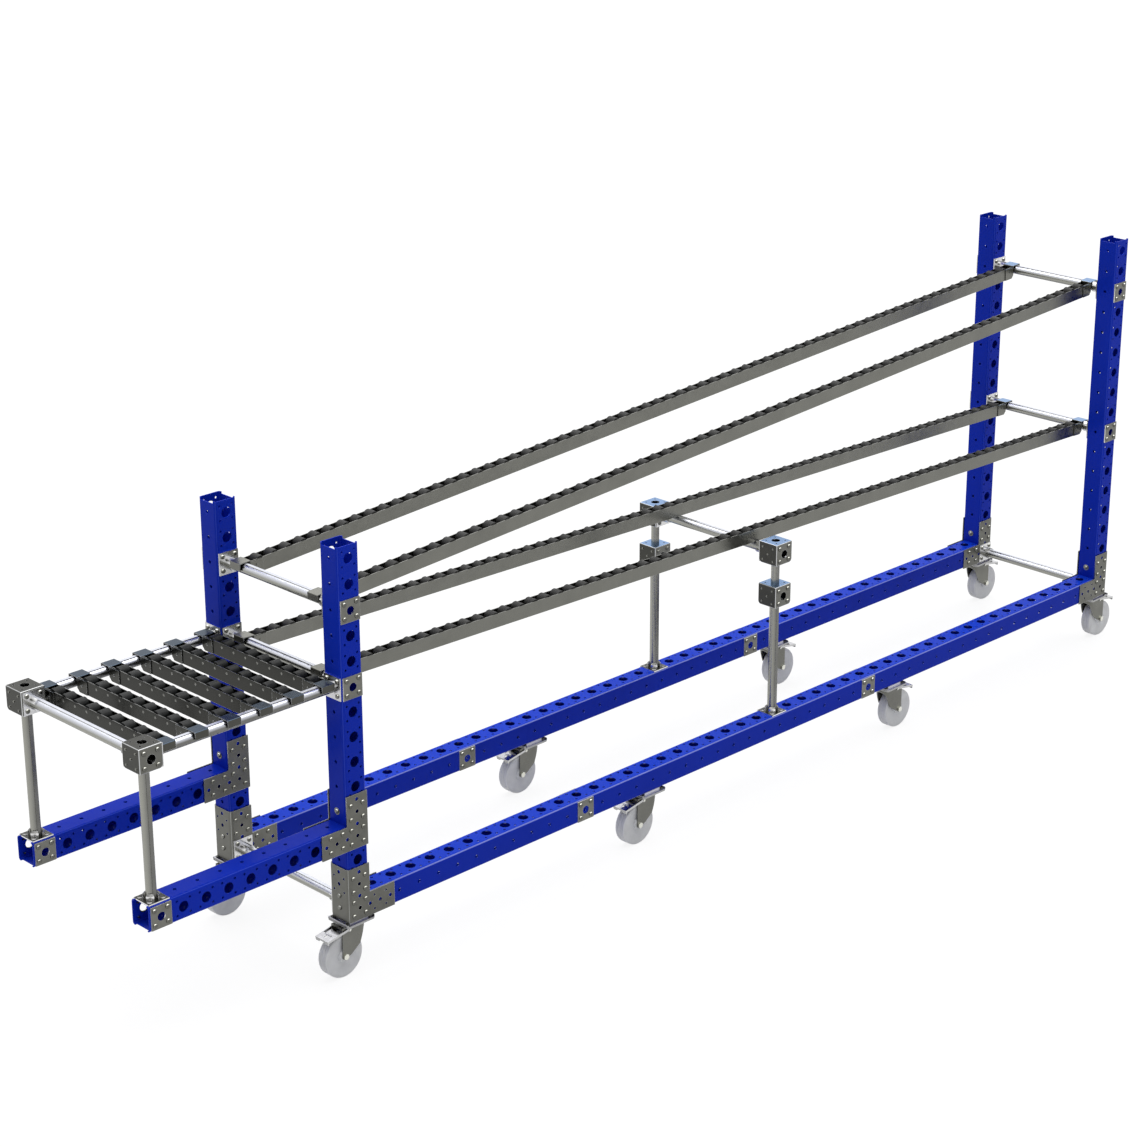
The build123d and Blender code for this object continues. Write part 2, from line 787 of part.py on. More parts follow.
def pedal():
    """Brake pedal: arms outside the fork, a floor behind it, a raised tread and a notched lip."""
    half_plate = pedal_plate / 2
    rim_top = half_plate + pedal_rim_height
    width = (-pedal_half_width, pedal_half_width)
    z_span = (-half_plate, half_plate)
    shape = block((-pedal_length, -pedal_floor_place), width, z_span)
    tread_x = (-pedal_length, pedal_tread_length - pedal_length)
    shape += block(tread_x, width, (-half_plate, rim_top))
    hollow_x = (pedal_plate - pedal_length, pedal_tread_length - pedal_length - pedal_plate)
    hollow_y = (pedal_plate - pedal_half_width, pedal_half_width - pedal_plate)
    shape -= block(hollow_x, hollow_y, (-pedal_plate, rim_top - pedal_plate))
    lip = block((-pedal_length, pedal_plate - pedal_length), width, (-pedal_lip_drop, half_plate))
    notch_start = (-pedal_length - overrun, 0, -pedal_lip_drop - pedal_lip_notch_radius / 2)
    shape += lip - rod(pedal_lip_notch_radius, notch_start, (1, 0, 0), pedal_plate + 2 * overrun)
    for side in (-1, 1):
        arm_y = side_span(0, side, pedal_arm_inner, pedal_half_width)
        shape += block((-pedal_length, 0), arm_y, (-half_plate, rim_top))
        ear_start = (0, side * pedal_arm_inner, 0)
        shape += rod(pedal_ear_radius, ear_start, (0, side, 0), pedal_ear_thickness)
    bore = pedal_pin_radius + running_clearance
    start = (0, -pedal_half_width - overrun, 0)
    shape -= rod(bore, start, (0, 1, 0), 2 * (pedal_half_width + overrun))
    hole_x = -pedal_hole_share * pedal_length
    shape -= rod(pedal_hole_radius, (hole_x, 0, 0), up, rim_top + overrun)
    grip_x = tread_x[1] - pedal_plate
    shape += rod(pedal_grip_radius, (grip_x, -pedal_grip_reach, rim_top), (0, 1, 0), 2 * pedal_grip_reach)
    return Pos(-pedal_pin_back, 0, pedal_pin_z) * Rot(0, -pedal_slope_degrees, 0) * shape


def caster_bolts(at_post):
    """Four bolts up through the tray and the spacer: into a beam, or at a post into its plug."""
    end = plug_height / 2 if at_post else tube_wall
    return bolt_square((0, 0, tray_bottom), up, tray_thickness + spacer_thickness + end)


def spacer(bolts):
    """Square block between the tray and the tube above it."""
    half = (-plate_side / 2, plate_side / 2)
    return block(half, half, (tray_top, -tube_half)).cut(*[bolt_cutter(bolt) for bolt in bolts])


def plug(bolts):
    """Threaded plug in the open foot of a post."""
    bore = tube_side - 2 * (tube_wall + plug_clearance)
    outline = RectangleRounded(bore, bore, tube_corner_radius - tube_wall + plug_clearance)
    shape = Pos(0, 0, -tube_half) * extrude(outline, plug_height)
    threads = []
    for bolt in bolts:
        radius = bolt_radius + running_clearance
        threads.append(rod(radius, bolt.seat, bolt.direction, bolt.grip + bolt_tail + overrun))
    return shape.cut(*threads)


# Assembly: one function for each group of nodes


sides = {"near": -1, "far": 1}
post_ends = {"front": 0.0, "rear": rear_x}
tube_stations = {"front": (upper_front_z, lower_front_z), "rear": (upper_rear_z, lower_rear_z)}


def facing(side):
    """Direction from one side of the rack towards its middle."""
    return (0, -side, 0)


def post_bolts(end, side):
    """Bolts that need holes of their own in a post."""
    x = post_ends[end]
    y = side * half_width
    sign = 1 if end == "front" else -1
    bolts = foot_end_bolts(x, y, sign)
    if end == "front":
        bolts += shelf_tube_bolts(y)
    return bolts


def shelf_tube_bolts(y):
    """Bolts of the shelf side tube's socket on the front post."""
    seat = (-tube_half - plate_thickness, y, lower_front_z)
    return bolt_square(seat, (1, 0, 0), plate_thickness + tube_wall)


def clamp_plate_seats(y):
    """Outer faces, with their directions, where square plates lie on a base beam."""
    seats = []
    for station in clamp_plate_stations:
        for side in (-1, 1):
            seats.append(((station * hole_pitch, y + side * tube_half, 0), (0, side, 0)))
    return seats


def post_plate_seats(side):
    """Outer faces of both posts where square plates lie opposite the cross tubes."""
    seats = []
    for end, x in post_ends.items():
        for z in tube_stations[end]:
            seats.append(((x, side * (half_width + tube_half), z), (0, side, 0)))
    return seats


def shelf_plate_seats(y):
    """Faces near a shelf beam's end where square plates lie."""
    return [((shelf_end_x, y + side * tube_half, shelf_beam_z), (0, side, 0)) for side in (-1, 1)]


def plate_seats():
    """Every place of a square plate."""
    seats = []
    for side in sides.values():
        y = side * half_width
        seats += clamp_plate_seats(y) + post_plate_seats(side) + shelf_plate_seats(y)
    return seats


def seat_bolts(seats, stack):
    """Four bolts through plates of a total thickness on each seat, and the tube's wall."""
    bolts = []
    for centre, outward in seats:
        normal = Vector(*outward)
        bolts += bolt_square(Vector(*centre) + normal * stack, tuple(-normal), stack + tube_wall)
    return bolts


def foot_clamp_bolts(y):
    """Bolts of the clamps at the feet of a shelf leg and a middle column."""
    stack = plate_thickness
    leg_seat = [((shelf_end_x, y, shelf_beam_z + tube_half), up)]
    column_seat = [((middle_x, y, tube_half), up)]
    return seat_bolts(leg_seat, stack), seat_bolts(column_seat, stack)


def base_side_bolts(y):
    """Bolts into the sides of a base beam."""
    bolts = seat_bolts(clamp_plate_seats(y), plate_thickness)
    for x, sign in ((0.0, 1), (rear_x, -1)):
        bolts += foot_holes(x, y, sign)
    return bolts


def frame_tubes():
    """Posts, base beams and shelf beams."""
    nodes = {}
    for name, side in sides.items():
        y = side * half_width
        nodes[f"post_front_{name}"] = post(0, y, front_post_top_station, post_bolts("front", side))
        nodes[f"post_rear_{name}"] = post(rear_x, y, rear_post_top_station, post_bolts("rear", side))
        nodes[f"base_beam_{name}"] = base_beam(y, base_side_bolts(y))
        nodes[f"shelf_beam_{name}"] = shelf_beam(y, foot_clamp_bolts(y)[0])
    return nodes


def brackets_and_plates():
    """Foot brackets, elbow plates and square plates."""
    feet = []
    elbows = []
    for side in sides.values():
        y = side * half_width
        feet += [foot_bracket(0, y, 1), foot_bracket(rear_x, y, -1)]
        elbows += [elbow_plate(0, y, shelf_beam_z, -1, face) for face in (-1, 1)]
    plates = [placed(square_plate(), centre, outward) for centre, outward in plate_seats()]
    return {"foot_brackets": feet, "elbow_plates": elbows, "square_plates": plates}


def cubes():
    """Places of the joint cubes, each with the outward directions of its flanged faces."""
    places = []
    for side in sides.values():
        y = side * half_width
        inward = facing(side)
        places.append((shelf_end_x, y, lower_front_z, [(1, 0, 0), inward]))
        places.append((middle_x, y, middle_cube_z, []))
        places.append((middle_x, y, middle_tube_z, [inward]))
    return places


def joint_cubes():
    """All joint cubes."""
    return [joint_cube(*place) for place in cubes()]


def sockets():
    """Flanged sockets at both ends of every level round tube."""
    shapes = []
    for side in sides.values():
        y = side * half_width
        inward = facing(side)
        face = side * inner_face
        for end, x in post_ends.items():
            shapes += [socket((x, face, z), inward) for z in tube_stations[end]]
            shapes.append(socket((x, face - side * plate_thickness, 0), inward))
        front = (-tube_half, y, lower_front_z)
        shapes.append(socket(front, (-1, 0, 0), depth=short_socket_depth))
    for x, y, z, flanged in cubes():
        for outward in flanged:
            depth = short_socket_depth if outward == (1, 0, 0) else socket_depth
            shapes.append(socket(cube_face(x, y, z, outward), outward, depth))
    return shapes


def foot_clamps():
    """Clamps at the feet of the shelf legs and middle columns, with their bolts."""
    shapes = []
    for side in sides.values():
        y = side * half_width
        shapes.append(foot_clamp((shelf_end_x, y, shelf_beam_z + tube_half), up))
        shapes.append(foot_clamp((middle_x, y, tube_half), up))
        leg_bolts, column_bolts = foot_clamp_bolts(y)
        shapes += [bolt_solid(bolt) for bolt in leg_bolts + column_bolts]
    return shapes


def cross_tube(x, z, stack):
    """Round tube across the rack, with its rib on top."""
    reach = inner_face - stack
    return ribbed_tube((x, -reach, z), (0, 1, 0), 2 * reach, up, round_tube_radius)


def upright_tube(x, y, low, high, radius=round_tube_radius):
    """Round upright tube, with its rib towards the near side."""
    return ribbed_tube((x, y, low), up, high - low, (0, -1, 0), radius)


def round_tubes():
    """Cross tubes, middle columns with their stubs, and the shelf's tubes."""
    lanes = [cross_tube(middle_x, middle_tube_z, plate_thickness)]
    for end, x in post_ends.items():
        lanes += [cross_tube(x, z, plate_thickness) for z in tube_stations[end]]
    base = [cross_tube(x, 0, 2 * plate_thickness) for x in post_ends.values()]
    columns = []
    shelf = [cross_tube(shelf_end_x, lower_front_z, plate_thickness)]
    stub_low = middle_cube_z + tube_half
    stub_high = middle_tube_z - cube_drop
    column_high = middle_cube_z - cube_drop
    leg_low = shelf_beam_z + tube_half + plate_thickness
    leg_high = lower_front_z - cube_drop
    for side in sides.values():
        y = side * half_width
        columns.append(upright_tube(middle_x, y, tube_half + plate_thickness, column_high))
        columns.append(upright_tube(middle_x, y, stub_low, stub_high, stub_tube_radius))
        shelf.append(upright_tube(shelf_end_x, y, leg_low, leg_high))
        start = (-tube_half - plate_thickness, y, lower_front_z)
        length = -shelf_end_x - 2 * (tube_half + plate_thickness)
        shelf.append(ribbed_tube(start, (-1, 0, 0), length, up, round_tube_radius))
    return {
        "lane_cross_tubes": lanes,
        "base_cross_tubes": base,
        "middle_columns": columns,
        "shelf_tubes": shelf,
    }


def frame_bolts():
    """Bolts and pins of the frame, apart from the foot clamps', and the cross bolts' washers."""
    bolts = seat_bolts(plate_seats(), plate_thickness)
    solids = []
    for side in sides.values():
        y = side * half_width
        bolts += foot_bolts(0, y, 1) + foot_bolts(rear_x, y, -1)
        bolts += foot_end_bolts(0, y, 1) + foot_end_bolts(rear_x, y, -1)
        for face in (-1, 1):
            bolts += elbow_bolts(0, y, shelf_beam_z, -1, face)
        for end, x in post_ends.items():
            seats = [((x, side * inner_face, z), facing(side)) for z in tube_stations[end]]
            bolts += seat_bolts(seats, plate_thickness)
        bolts += shelf_tube_bolts(y)
        cross = [(0, front_cross_bolt_station), (rear_x, rear_cross_bolt_station)]
        for x, station in cross:
            face = Vector(x - tube_half, y, station * hole_pitch)
            seat = face - Vector(washer_thickness, 0, 0)
            bolts.append(Bolt(seat, Vector(1, 0, 0), washer_thickness + tube_wall))
            washer = rod(washer_radius, face, (-1, 0, 0), washer_thickness)
            solids.append(washer - rod(bolt_hole_radius, face, (-1, 0, 0), washer_thickness))
    for place in cubes():
        bolts += cube_bolts(*place)
        for centre, outward in cube_pins(*place)[0]:
            start = centre - Vector(*outward) * cube_wall
            solids.append(rod(pin_radius, start, outward, cube_wall + pin_height))
    return solids + [bolt_solid(bolt) for bolt in bolts]


def long_lanes():
    """Name, place, length and slope end heights of the four long lanes."""
    lanes = {}
    levels = {"upper": (upper_front_z, upper_rear_z), "lower": (lower_front_z, lower_rear_z)}
    for level, (z_front, z_rear) in levels.items():
        for name, side in sides.items():
            place = lane_place(side * lane_offset, z_front, z_rear)
            lanes[f"{level}_{name}"] = (place.location, math.hypot(rear_x, z_rear - z_front))
    return lanes


def lane_nodes():
    """Channels, hook brackets, rollers and axles of the long lanes."""
    nodes = {"lane_hooks": [], "lane_rollers": []}
    axles = []
    axle_z = axle_height - lane_channel_drop
    bracket = hook(lane_channel_drop)
    for name, (place, length) in long_lanes().items():
        nodes[f"track_{name}"] = place * channel(length, lane_channel_drop)
        far_end = Pos(length, 0, 0) * Rot(0, 0, 180)
        nodes["lane_hooks"] += [place * bracket, place * far_end * bracket]
        spots = [place * Pos(along, 0, axle_z) for along in roller_places(length, first_roller_place)]
        nodes[f"lead_roller_{name}"] = spots[0] * roller_shape()
        nodes["lane_rollers"] += [spot * roller_shape() for spot in spots[1:]]
        axles += [spot * axle_shape(channel_width - 2 * channel_wall) for spot in spots]
    return nodes, axles


def shelf_nodes():
    """Channels, hook brackets, rollers and axles of the short shelf tracks."""
    nodes = {"shelf_tracks": [], "shelf_hooks": [], "shelf_rollers": []}
    axles = []
    axle_z = axle_height - shelf_channel_drop
    bracket = hook(shelf_channel_drop)
    reach = frame_width / 2 - channel_end - roller_radius
    each_way = int(reach / roller_pitch)
    first = frame_width / 2 - each_way * roller_pitch
    far_end = Pos(frame_width, 0, 0) * Rot(0, 0, 180)
    spots = [Pos(first + index * roller_pitch, 0, axle_z) for index in range(2 * each_way + 1)]
    bore = roller_axle_radius + running_clearance
    pierce = [spot * Rot(90, 0, 0) * Cylinder(bore, channel_width + 2 * overrun) for spot in spots]
    track = channel(frame_width, shelf_channel_drop).cut(*pierce)
    for index in range(shelf_track_count):
        place = shelf_place(-first_shelf_track_place - index * shelf_track_pitch).location
        nodes["shelf_tracks"].append(place * track)
        nodes["shelf_hooks"] += [place * bracket, place * far_end * bracket]
        nodes["shelf_rollers"] += [place * spot * roller_shape() for spot in spots]
        axles += [place * spot * axle_shape(channel_width) for spot in spots]
    return nodes, axles


def caster_places():
    """Name, place and post flag of every caster, turned so that its wheel trails outwards."""
    places = {}
    last = len(caster_stations)
    for number, station in enumerate(caster_stations, start=1):
        turn = 0 if number <= last / 2 else 180
        for name, side in sides.items():
            spot = Pos(station * hole_pitch, side * half_width, 0) * Rot(0, 0, turn)
            places[f"{number}_{name}"] = (spot, number in (1, last))
    return places


def caster_nodes():
    """Trays, top plates, spacers, plugs and bolts as groups, and each caster's own moving pieces."""
    nodes = {"caster_trays": [], "caster_spacers": [], "caster_bolts": []}
    moving = {"fork": [fork(), axle_bolt(), pedal_pin()], "wheel": [wheel()], "pedal": [pedal()]}
    for name, (spot, at_post) in caster_places().items():
        bolts = caster_bolts(at_post)
        nodes["caster_trays"] += [spot * tray(bolts), spot * top_plate()]
        nodes["caster_spacers"].append(spot * spacer(bolts))
        if at_post:
            nodes["caster_spacers"].append(spot * plug(bolts))
        nodes["caster_bolts"] += [spot * bolt_solid(bolt) for bolt in bolts]
        nodes["caster_bolts"] += [spot * piece for piece in top_plate_bolts()]
        for piece, shapes in moving.items():
            nodes[f"{piece}_{name}"] = [spot * shape for shape in shapes]
    return nodes


def all_nodes():
    """Every node of the rack, each as a list of solids."""
    nodes = frame_tubes() | brackets_and_plates() | round_tubes()
    nodes["joint_cubes"] = joint_cubes()
    nodes["tube_sockets"] = sockets()
    nodes["foot_clamps"] = foot_clamps()
    nodes["frame_bolts"] = frame_bolts()
    lanes, lane_axles = lane_nodes()
    shelf, shelf_axles = shelf_nodes()
    nodes |= lanes | shelf | caster_nodes()
    nodes["roller_axles"] = lane_axles + shelf_axles
    return {name: solids_of(shapes) for name, shapes in nodes.items()}


def solids_of(shapes):
    """Flat list of the solids in one shape or a list of shapes."""
    group = shapes if isinstance(shapes, list) else [shapes]
    return [solid for shape in group for solid in shape.solids()]


rack = all_nodes()
bounds = Compound([solid for solids in rack.values() for solid in solids]).bounding_box()
origin = Vector(bounds.center().X, bounds.center().Y, bounds.min.Z)
os.makedirs("parts", exist_ok=True)
for node_name, node_solids in rack.items():
    export_step(Pos(*(-origin)) * Compound(node_solids), f"parts/{node_name}.step")
print(f"{len(rack)} nodes, origin at {origin.X:.3f} {origin.Y:.3f} {origin.Z:.3f}")
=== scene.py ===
import math

import bpy
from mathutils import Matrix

# Looks of the roller track rack. Metres. X runs from the low unloading end to the high feeding end,
# Y across the rack from its near side, Z up from the floor.

# Camera of the photograph
camera_place = (-5.431505, -5.163548, 3.498702)
camera_turn = (1.2231970, 0.0011781, -0.7838813)
camera_lens = 84.005
camera_sensor = 36.0
camera_shift = (-0.0074124, -0.0258500)

# Light
sky_level = 0.27
background_level = 1.0
key_power = 2.5
key_turn = (math.radians(-6), math.radians(8), 0)
key_spread = math.radians(76)
floor_half_size = 60.0
floor_colour = (0.65, 0.65, 0.65)
floor_glow = 0.86
floor_shade = (0.20, 0.20, 0.20)

smooth_angle = math.radians(32)

# Steel: features per metre, widths in metres, and the colours of the painted highlight and painted shade lines along
# edges and of the painted shade in hollows
spangle_scale = 150.0
patch_scale = 14.0
wear_scale = 60.0
grit_scale = 420.0
edge_width = 0.0012
edge_turn = (0.90, 0.995)
bevel_samples = 4
hollow_samples = 6
hollow_shade_depth = (0.15, 0.75)
# Normal range over which faces turned to -X take their painted light or shade tone
end_turn = (-0.35, -0.95)
edge_highlight_colour = (0.70, 0.71, 0.72)
edge_shade_colour = (0.07, 0.07, 0.08)
hollow_shade_colour = (0.004, 0.004, 0.004)

# Paint and plastic: features per metre
cloud_scale = 5.0
gloss_scale = 30.0
peel_scale = 260.0
tone_scale = 35.0
moulding_scale = 90.0
bump_height = 0.0001

# Places where one node has two finishes, or a painted reflection or painted highlight on some faces
middle_cube_reach = 1.0
caster_line = 0.2482
fork_half_width = 0.0232
flat_share = 0.9
# Normal share from which the wheels' rounded band takes the painted highlight
rim_share = 0.3

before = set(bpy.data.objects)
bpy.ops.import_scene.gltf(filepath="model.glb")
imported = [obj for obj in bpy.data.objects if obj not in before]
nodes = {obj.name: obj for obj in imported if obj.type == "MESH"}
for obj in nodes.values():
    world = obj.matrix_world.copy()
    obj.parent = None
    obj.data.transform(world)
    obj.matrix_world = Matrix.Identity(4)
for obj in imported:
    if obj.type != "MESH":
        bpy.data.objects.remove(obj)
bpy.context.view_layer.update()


class Look:
    """Material under construction: short ways to add its nodes."""

    def __init__(self, name):
        self.material = bpy.data.materials.new(name)
        self.material.use_nodes = True
        self.tree = self.material.node_tree
        self.shader = self.tree.nodes["Principled BSDF"]
        self.place = self.add("ShaderNodeTexCoord").outputs["Object"]

    def add(self, kind, **values):
        """Node of a kind, with its socket values."""
        node = self.tree.nodes.new(kind)
        for socket, value in values.items():
            node.inputs[socket.replace("_", " ")].default_value = value
        return node

    def link(self, source, target):
        """Link from one socket to another."""
        self.tree.links.new(source, target)

    def noise(self, scale, detail=2.0):
        """Noise value from 0 to 1 at a number of features per metre."""
        node = self.add("ShaderNodeTexNoise", Scale=scale, Detail=detail)
        self.link(self.place, node.inputs["Vector"])
        return node.outputs["Fac"]

    def ranged(self, value, low, high, new_low, new_high):
        """Value brought from one range to another."""
        node = self.add("ShaderNodeMapRange")
        for socket, number in zip(list(node.inputs)[1:5], (low, high, new_low, new_high)):
            socket.default_value = number
        self.link(value, node.inputs["Value"])
        return node.outputs["Result"]

    def blended(self, factor, first, second):
        """Colour between two, each a colour or a socket."""
        node = self.tree.nodes.new("ShaderNodeMix")
        node.data_type = "RGBA"
        self.link(factor, node.inputs["Factor"])
        for socket, colour in zip((node.inputs[6], node.inputs[7]), (first, second)):
            if isinstance(colour, tuple):
                socket.default_value = (*colour, 1.0)
            else:
                self.link(colour, socket)
        return node.outputs[2]

    def edges(self, radius):
        """1 along edges of a radius and 0 on flat faces."""
        bevel = self.tree.nodes.new("ShaderNodeBevel")
        bevel.samples = bevel_samples
        bevel.inputs["Radius"].default_value = radius
        dot = self.tree.nodes.new("ShaderNodeVectorMath")
        dot.operation = "DOT_PRODUCT"
        self.link(bevel.outputs["Normal"], dot.inputs[0])
        self.link(self.tree.nodes.new("ShaderNodeNewGeometry").outputs["Normal"], dot.inputs[1])
        return self.ranged(dot.outputs["Value"], *edge_turn, 1.0, 0.0)

    def facing(self, axis, low, high):
        """Blend from 0 to 1 as the surface turns towards an axis of the room."""
        split = self.tree.nodes.new("ShaderNodeSeparateXYZ")
        self.link(self.tree.nodes.new("ShaderNodeNewGeometry").outputs["Normal"], split.inputs["Vector"])
        return self.ranged(split.outputs[axis], low, high, 0.0, 1.0)

    def rounding(self, low, high):
        """Blend from 0 on faces square to the room to 1 on the bends between them."""
        split = self.tree.nodes.new("ShaderNodeSeparateXYZ")
        normal = self.tree.nodes.new("ShaderNodeNewGeometry").outputs["Normal"]
        size = self.tree.nodes.new("ShaderNodeVectorMath")
        size.operation = "ABSOLUTE"
        self.link(normal, size.inputs[0])
        self.link(size.outputs["Vector"], split.inputs["Vector"])
        most = split.outputs["X"]
        for axis in ("Y", "Z"):
            larger = self.tree.nodes.new("ShaderNodeMath")
            larger.operation = "MAXIMUM"
            self.link(most, larger.inputs[0])
            self.link(split.outputs[axis], larger.inputs[1])
            most = larger.outputs["Value"]
        return self.ranged(most, low, high, 1.0, 0.0)

    def hollows(self, reach, low, high):
        """Blend from 0 in the open to 1 in narrow hollows of a reach: the mask of the painted shade in hollows."""
        nearby = self.add("ShaderNodeAmbientOcclusion", Distance=reach)
        nearby.samples = hollow_samples
        return self.ranged(nearby.outputs["AO"], low, high, 1.0, 0.0)

    def bumps(self, height, distance, strength=1.0):
        """Bump from a height value."""
        node = self.add("ShaderNodeBump", Strength=strength, Distance=distance)
        self.link(height, node.inputs["Height"])
        self.link(node.outputs["Normal"], self.shader.inputs["Normal"])


def grey(level, blue=0.9):
    """Near-neutral colour of a brightness, with a share of blue."""
    return (level, level, level * blue)


def steel(name, tones, painted_top, painted_side, rough, edge=0.6, line=edge_highlight_colour, bend=None, hollow=None, rise=(0.15, 0.80)):
    """Plated steel: two mottled tones with painted light and shade: other tones for faces turned up and to -X,
    painted highlight or painted shade lines along edges, and where given a painted highlight on bends and painted
    shade in hollows.
    """
    look = Look(name)
    cells = look.add("ShaderNodeTexVoronoi", Scale=spangle_scale)
    look.link(look.place, cells.inputs["Vector"])
    patch = look.ranged(look.noise(patch_scale, 4.0), 0.3, 0.7, 0.0, 1.0)
    grain = look.blended(patch, *tones)
    mottle = look.ranged(cells.outputs["Distance"], 0.0, 0.9, 0.0, 0.35)
    body = look.blended(mottle, grain, tones[1])
    # Faces turned to -X get a tone of painted light or shade.
    body = look.blended(look.facing("X", *end_turn), body, painted_side)
    # Faces turned up get a tone of painted light or shade.
    body = look.blended(look.facing("Z", *rise), body, painted_top)
    # Painted highlight along edges; with a dark line colour, painted shade instead.
    body = look.blended(look.ranged(look.edges(edge_width), 0.0, 1.0, 0.0, edge), body, line)
    if bend:
        # Painted highlight on the rounded bends.
        body = look.blended(look.rounding(*bend), body, line)
    if hollow:
        # Painted shade: near black in narrow hollows.
        body = look.blended(look.hollows(hollow, *hollow_shade_depth), body, hollow_shade_colour)
    look.link(body, look.shader.inputs["Base Color"])
    look.link(look.ranged(look.noise(wear_scale, 3.0), 0.3, 0.7, *rough), look.shader.inputs["Roughness"])
    look.shader.inputs["Metallic"].default_value = 1.0
    look.bumps(look.noise(grit_scale), bump_height, 0.25)
    return look.material


def paint(name, colour, shade, bend, width=(0.70, 0.80), painted_top=None):
    """Glossy paint: even colour with faint clouding and orange peel, a painted highlight as a paler line along bends,
    and painted light on faces turned up where such a colour is given.
    """
    look = Look(name)
    cloud = look.ranged(look.noise(cloud_scale, 3.0), 0.35, 0.65, 0.0, 1.0)
    body = look.blended(cloud, colour, shade)
    if painted_top:
        # Faces turned up get a lighter tone of painted light.
        body = look.blended(look.facing("Z", 0.5, 0.9), body, painted_top)
    # Painted highlight: a paler line along the rounded bends.
    body = look.blended(look.rounding(*width), body, bend)
    look.link(body, look.shader.inputs["Base Color"])
    look.link(look.ranged(look.noise(gloss_scale, 3.0), 0.3, 0.7, 0.30, 0.40), look.shader.inputs["Roughness"])
    look.shader.inputs["Specular IOR Level"].default_value = 0.03
    look.shader.inputs["Coat Weight"].default_value = 0.05
    look.shader.inputs["Coat Roughness"].default_value = 0.15
    look.bumps(look.noise(peel_scale, 1.0), bump_height, 0.15)
    return look.material


def plastic(name, colour, light, rough, specular=0.35, fine=220.0):
    """Moulded plastic: fine grain and slight change of tone."""
    look = Look(name)
    tone = look.ranged(look.noise(tone_scale, 3.0), 0.3, 0.7, 0.0, 1.0)
    body = look.blended(tone, colour, light)
    look.link(body, look.shader.inputs["Base Color"])
    look.link(look.ranged(look.noise(moulding_scale), 0.3, 0.7, *rough), look.shader.inputs["Roughness"])
    look.shader.inputs["Specular IOR Level"].default_value = specular
    look.bumps(look.noise(fine), bump_height, 0.3)
    return look.material


# The blue paints carry a painted highlight along their bends, and the base beams painted light on faces turned up.
blue = paint("blue_paint", (0.006, 0.034, 0.56), (0.006, 0.031, 0.52), (0.06, 0.11, 0.75))
base_blue = paint(
    "base_paint",
    (0.006, 0.033, 0.55),
    (0.006, 0.030, 0.50),
    bend=(0.32, 0.37, 0.85),
    width=(0.72, 0.93),
    painted_top=(0.007, 0.052, 0.66),
)
# Every steel below has painted light and shade from steel(): tones for faces turned up and to -X, and lines along
# edges.
plate = steel(
    "plated_plate",
    tones=(grey(0.10), grey(0.15)),
    painted_top=grey(0.12),
    painted_side=grey(0.14),
    rough=(0.30, 0.42),
    edge=0.8,
    bend=(0.70, 0.74),
)
# Square plates: the walls of their windows, facing -X, are painted near white as a painted highlight, and faces
# turned up get painted light.
square = steel(
    "square_plate", (grey(0.13), grey(0.19)), painted_top=grey(0.50), painted_side=grey(0.80), rough=(0.30, 0.42), edge=0.5
)
# Joint cubes: painted shade darkens faces turned up and to -X, a painted highlight lines the bends and edges, and
# painted shade fills the hollows.
cube = steel(
    "cube_steel",
    tones=(grey(0.12), grey(0.16)),
    painted_top=grey(0.06),
    painted_side=grey(0.055),
    rough=(0.26, 0.38),
    edge=0.8,
    bend=(0.72, 0.99),
    hollow=0.03,
)
# Painted reflection of a pale blue sky, laid on faces turned up of the middle joint cubes and of the lane hooks.
sky = steel(
    "sky_reflection_paint",
    tones=((0.18, 0.32, 0.60), (0.26, 0.42, 0.68)),
    painted_top=(0.22, 0.37, 0.64),
    painted_side=grey(0.3),
    rough=(0.2, 0.3),
)
bright = steel(
    "bright_casting", (grey(0.50, 1.0), grey(0.70, 1.0)), grey(0.85, 1.0), grey(0.60, 1.0), rough=(0.20, 0.32)
)
# Foot clamps: faces turned up are painted dark as painted shade.
clamp = steel("clamp_casting", (grey(0.75, 1.0), grey(0.90, 1.0)), grey(0.07), grey(0.80, 1.0), rough=(0.20, 0.32))
# Caster spacers: painted near white so that they read as lit in the shade under the beams, a painted light.
spacer = steel("spacer_painted_light", (grey(0.88, 1.05), grey(0.95, 1.05)), grey(0.90), grey(0.90, 1.05), rough=(0.30, 0.42))
tray = steel(
    "tray_steel",
    tones=(grey(0.28, 1.0), grey(0.34, 1.0)),
    painted_top=grey(0.42, 1.1),
    painted_side=grey(0.26, 1.0),
    rough=(0.30, 0.42),
    edge=0.8,
)
# Frame bolts: dark heads whose faces turned up are painted near white, a painted highlight on the domes.
bolt = steel(
    "bolt_steel",
    tones=(grey(0.09), grey(0.13)),
    painted_top=grey(0.95),
    painted_side=grey(0.20),
    rough=(0.22, 0.34),
    edge=0.0,
    rise=(0.40, 0.85),
)
shiny_bolt = steel("bright_bolt", (grey(0.60), grey(0.75)), grey(0.95), grey(0.50), rough=(0.18, 0.28), edge=0.1)
dark_bolt = steel("dark_bolt_steel", (grey(0.06), grey(0.10)), grey(0.10), grey(0.06), rough=(0.30, 0.45), edge=0.3)
# Tubes: a bluish-white painted highlight on faces turned up, and dark painted shade lines along the edges of the rib.
tube = steel(
    "tube_steel",
    tones=(grey(0.13, 0.95), grey(0.18, 0.95)),
    painted_top=(0.78, 0.80, 0.88),
    painted_side=grey(0.30),
    rough=(0.22, 0.32),
    edge=0.3,
    line=edge_shade_colour,
)
